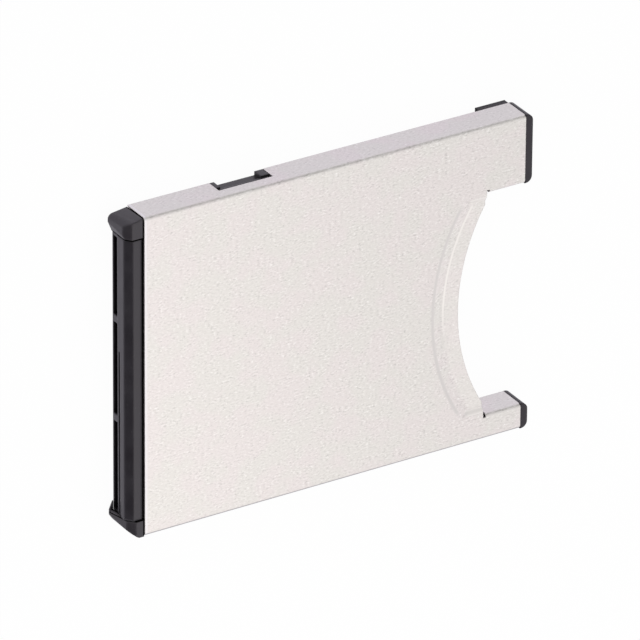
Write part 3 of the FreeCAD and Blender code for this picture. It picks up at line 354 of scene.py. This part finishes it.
def make_floor():
    """A wide pale floor that shows nearly white and keeps a soft shadow of the object. Shiny things
    see it a little darker and cooler."""
    half = 3.0
    white_share = 0.965
    mirrored_less = 0.03
    mesh = bpy.data.meshes.new("floor")
    corners = [(-half, -half, 0.0), (half, -half, 0.0), (half, half, 0.0), (-half, half, 0.0)]
    mesh.from_pydata(corners, [], [(0, 1, 2, 3)])
    floor = bpy.data.objects.new("floor", mesh)
    scene.collection.objects.link(floor)
    material = bpy.data.materials.new("floor")
    material.use_nodes = True
    tree = material.node_tree
    tree.nodes.clear()
    pale = add(tree, "ShaderNodeBsdfDiffuse", {"Color": (0.92, 0.92, 0.92)})
    mirrored = add(tree, "ShaderNodeLightPath").outputs["Is Glossy Ray"]
    tint = add(tree, "ShaderNodeMix", {"Factor": mirrored}, data_type="RGBA")
    feed(tree, tint.inputs[6], (1.0, 1.0, 1.0))
    feed(tree, tint.inputs[7], (0.985, 0.965, 1.04))
    white = add(tree, "ShaderNodeEmission", {"Color": tint.outputs[2], "Strength": 1.0})
    share = calculate(tree, "MULTIPLY", seen_by_eye(tree), white_share)
    share = calculate(tree, "SUBTRACT", share, calculate(tree, "MULTIPLY", mirrored, mirrored_less))
    shown = add(tree, "ShaderNodeMixShader", {0: share, 1: pale.outputs[0], 2: white.outputs[0]})
    under = add(tree, "ShaderNodeNewGeometry").outputs["Backfacing"]
    clear = add(tree, "ShaderNodeBsdfTransparent")
    whole = add(tree, "ShaderNodeMixShader", {0: under, 1: shown.outputs[0], 2: clear.outputs[0]})
    add(tree, "ShaderNodeOutputMaterial", {"Surface": whole.outputs[0]})
    mesh.materials.append(material)


def dark_gap(tree, direction, wide, deep):
    """How much the world's light is held back round a direction, for shiny things alone: by deep in
    the middle, and by nothing where the cosine of the angle from there is below wide."""
    sides = {0: add(tree, "ShaderNodeTexCoord").outputs["Generated"], 1: Vector(direction).normalized()}
    facing = add(tree, "ShaderNodeVectorMath", sides, operation="DOT_PRODUCT").outputs["Value"]
    inputs = {"Value": facing, "From Min": wide, "From Max": 0.96, "To Min": 0.0, "To Max": deep}
    dark = add(tree, "ShaderNodeMapRange", inputs, interpolation_type="SMOOTHSTEP").outputs["Result"]
    mirrored = add(tree, "ShaderNodeLightPath").outputs["Is Glossy Ray"]
    return calculate(tree, "MULTIPLY", dark, mirrored)


def make_world():
    """White all round to the eye, and softer as light. Shiny things also see two dark gaps in it."""
    world = bpy.data.worlds.new("studio")
    scene.world = world
    world.use_nodes = True
    tree = world.node_tree
    tree.nodes.clear()
    ambient = 0.8
    behind = dark_gap(tree, (-0.754, -0.467, 0.463), 0.76, 0.98)
    beside = dark_gap(tree, (0.462, 0.753, 0.467), 0.86, 0.5)
    shown = calculate(tree, "MULTIPLY", seen_by_eye(tree), 1.0 - ambient)
    level = calculate(tree, "ADD", shown, ambient)
    level = calculate(tree, "SUBTRACT", calculate(tree, "SUBTRACT", level, behind), beside)
    sky = add(tree, "ShaderNodeBackground", {"Color": (1.0, 1.0, 1.0), "Strength": level})
    add(tree, "ShaderNodeOutputWorld", {"Surface": sky.outputs[0]})


def make_lamp(name, direction, distance, size, power, colour):
    """A square soft box that shines on the middle of the object from a direction."""
    data = bpy.data.lights.new(name, "AREA")
    data.shape = "SQUARE"
    data.size = size
    data.energy = power
    data.color = colour
    lamp = bpy.data.objects.new(name, data)
    back = Vector(direction).normalized()
    lamp.location = middle + back * distance
    lamp.rotation_mode = "QUATERNION"
    lamp.rotation_quaternion = (-back).to_track_quat("-Z", "Y")
    lamp.visible_camera = False
    scene.collection.objects.link(lamp)


make_floor()
make_world()
make_lamp("key", (-0.06, -0.50, 0.86), 0.26, 0.25, 0.111, (1.0, 0.97, 0.93))
make_lamp("kick", (0.85, -0.47, 0.25), 0.5, 0.35, 0.085, (1.0, 0.99, 0.98))
make_lamp("fill", (-0.3, 0.9, 0.5), 1.2, 0.9, 0.4, (1.0, 1.0, 1.0))


# Camera

def make_camera():
    """The photograph's viewpoint, a long way off through a long lens and rolled over."""
    location = Vector((-0.64769, 0.65431, 1.05870))
    back = Vector((-0.4624, 0.4672, 0.7535)).normalized()
    up = Vector((0.2374, 0.8841, -0.4025))
    right = up.cross(back).normalized()
    up = back.cross(right)
    data = bpy.data.cameras.new("camera")
    data.lens = 520.7
    data.sensor_width = 36.0
    data.clip_start = 0.01
    data.clip_end = 10.0
    camera = bpy.data.objects.new("camera", data)
    turn = Matrix((right, up, back)).transposed()
    camera.matrix_world = Matrix.Translation(location) @ turn.to_4x4()
    scene.collection.objects.link(camera)
    scene.camera = camera


make_camera()
scene.view_settings.view_transform = "Standard"
